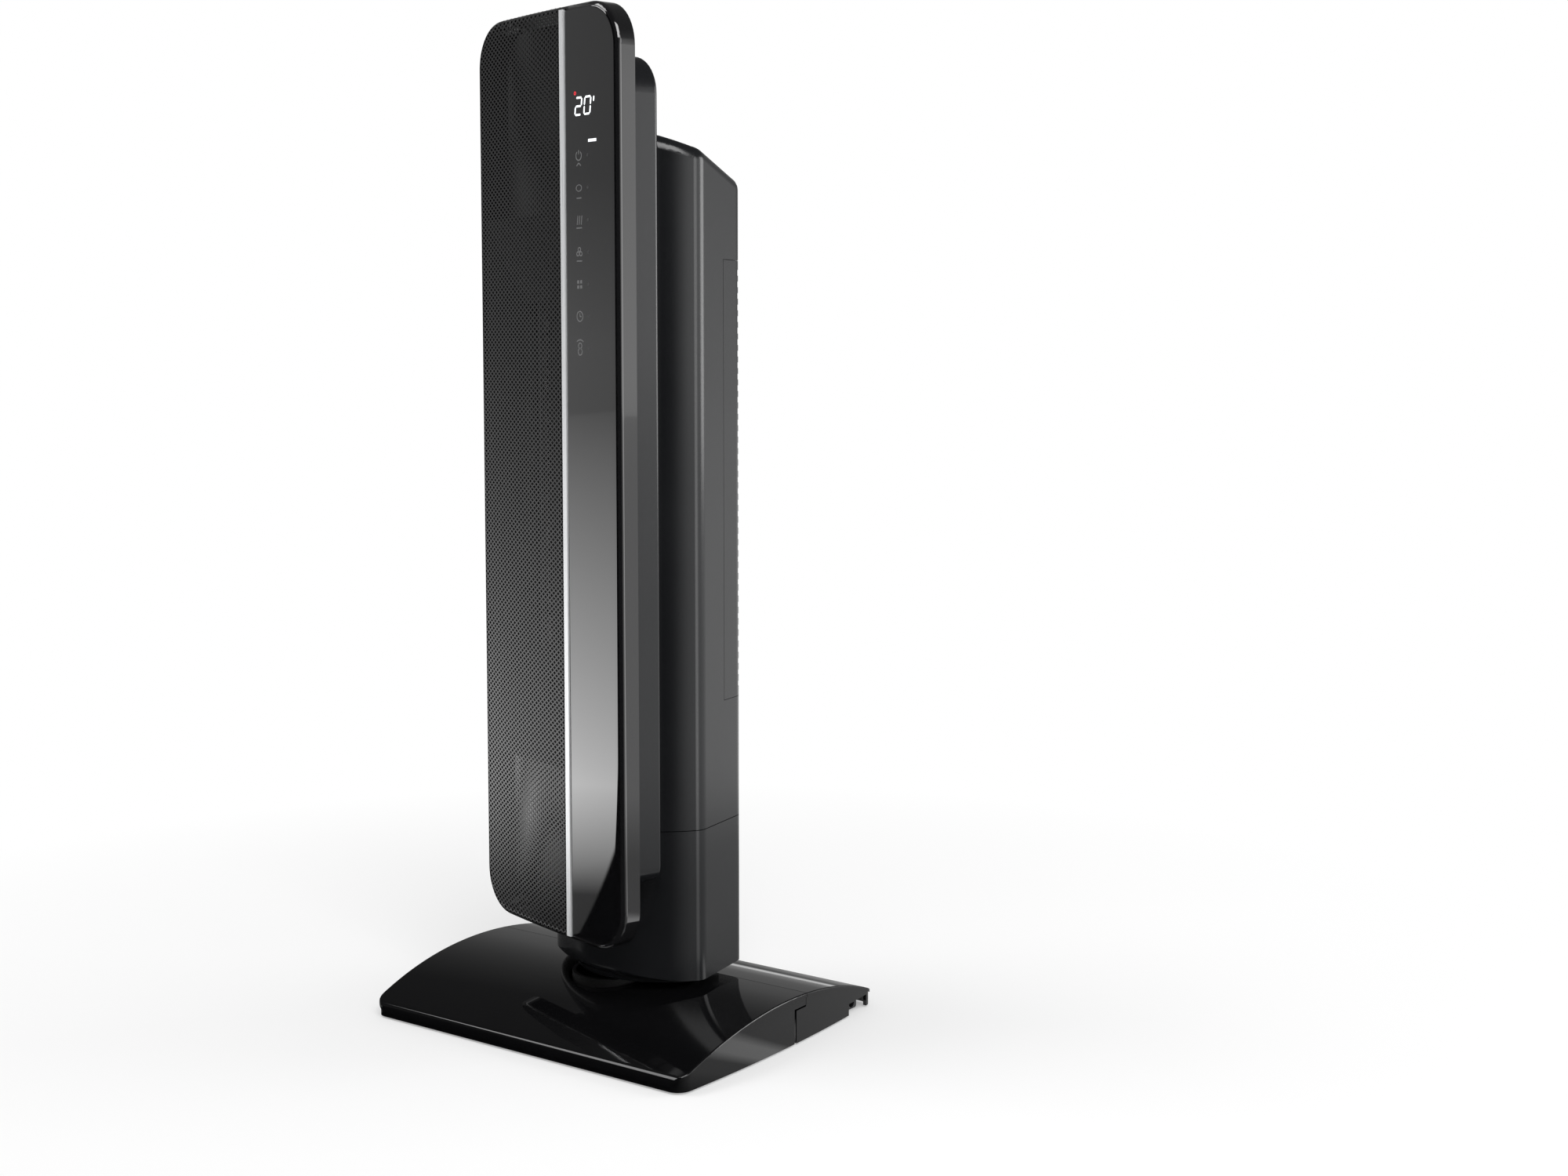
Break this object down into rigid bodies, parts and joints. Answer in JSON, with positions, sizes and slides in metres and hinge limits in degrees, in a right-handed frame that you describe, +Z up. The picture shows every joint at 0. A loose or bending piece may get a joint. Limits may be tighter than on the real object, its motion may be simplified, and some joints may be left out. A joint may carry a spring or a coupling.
{
  "type": "ceramic tower heater",
  "caption": "Tall ceramic fan heater: bowed grille and touch panel on a rounded tower that swings on a low arched base.",
  "frame": {"origin": "on the floor, under the middle of the base", "axes": "+Z up; -Y is the front of the base; the tower stands turned 15 degrees to the left of the front"},
  "size_m": [0.327, 0.266, 0.8],
  "materials": {
    "base_gloss": "polished black moulding",
    "rubber": "matt rubber",
    "inner_plastic": "plain dark moulding",
    "housing_satin": "satin black moulding",
    "panel_black": "polished black moulding",
    "grille_metal": "perforated sheet, satin black",
    "trim_silver": "bright brushed trim",
    "lens_gloss": "clear-coated black lens",
    "board_green": "circuit board",
    "display_dark": "display window",
    "ceramic": "fired ceramic",
    "fins": "bare aluminium",
    "steel": "turned steel",
    "brass": "turned brass",
    "motor": "zinc-plated can",
    "filter": "fine filter mesh",
    "relay": "moulded case"
  },
  "bodies": {
    "base": {"base_front": "base_gloss", "base_rear": "base_gloss", "foot_front_left": "rubber", "foot_front_right": "rubber", "foot_rear_left": "rubber", "foot_rear_right": "rubber", "slide_ring": "inner_plastic", "thrust_washer": "inner_plastic", "sun_gear": "inner_plastic", "cord_gland": "inner_plastic", "tilt_switch": "inner_plastic"},
    "plunger": {"tilt_plunger": "inner_plastic"},
    "fan": {"impeller": "inner_plastic", "impeller_shaft": "steel"},
    "pinion": {"swing_pinion": "inner_plastic"},
    "filter_grille": {"rear_grille": "housing_satin", "air_filter": "filter"},
    "rocker": {"switch_rocker": "panel_black"},
    "tower": {"turntable": "inner_plastic", "retaining_plate": "steel", "lower_housing": "housing_satin", "rear_housing": "housing_satin", "mid_frame": "housing_satin", "front_frame": "panel_black", "front_grille": "grille_metal", "trim_strip": "trim_silver", "control_lens": "lens_gloss", "touch_board": "board_green", "display_module": "display_dark", "outlet_funnel": "inner_plastic", "heater_frame": "inner_plastic", "ceramic_core_1": "ceramic", "ceramic_core_2": "ceramic", "heater_fins_1": "fins", "heater_fins_2": "fins", "heater_fins_3": "fins", "thermal_cutout": "steel", "blower_scroll": "inner_plastic", "fan_motor": "motor", "shaft_bush": "brass", "power_board": "board_green", "relay_left": "relay", "relay_right": "relay", "swing_motor": "motor", "switch_body": "inner_plastic"}
  },
  "joints": [
    {"name": "swing", "type": "hinge", "parent": "base", "child": "tower", "pos_m": [0, -0.02, 0.04], "axis": [0, 0, 1], "range_deg": [-20, 50]},
    {"name": "fan_spin", "type": "hinge", "parent": "tower", "child": "fan", "pos_m": [-0.00227, 0.01788, 0.44], "axis": [0, 0, 1], "continuous": true},
    {"name": "pinion_spin", "type": "hinge", "parent": "tower", "child": "pinion", "pos_m": [0.00569, 0.00125, 0.03], "axis": [0, 0, 1], "range_deg": [-55, 135]},
    {"name": "grille_pull", "type": "slide", "parent": "tower", "child": "filter_grille", "axis": [0.2588, 0.9659, 0], "range_m": [0, 0.12]},
    {"name": "switch_rock", "type": "hinge", "parent": "tower", "child": "rocker", "pos_m": [0.02174, 0.06114, 0.11], "axis": [0.9659, -0.2588, 0], "range_deg": [-14, 0]},
    {"name": "plunger_slide", "type": "slide", "parent": "base", "child": "plunger", "axis": [0, 0, -1], "range_m": [0, 0.004]}
  ],
  "couplings": [
    {"joint": "pinion_spin", "follows": "swing", "ratio": 2.6667}
  ]
}
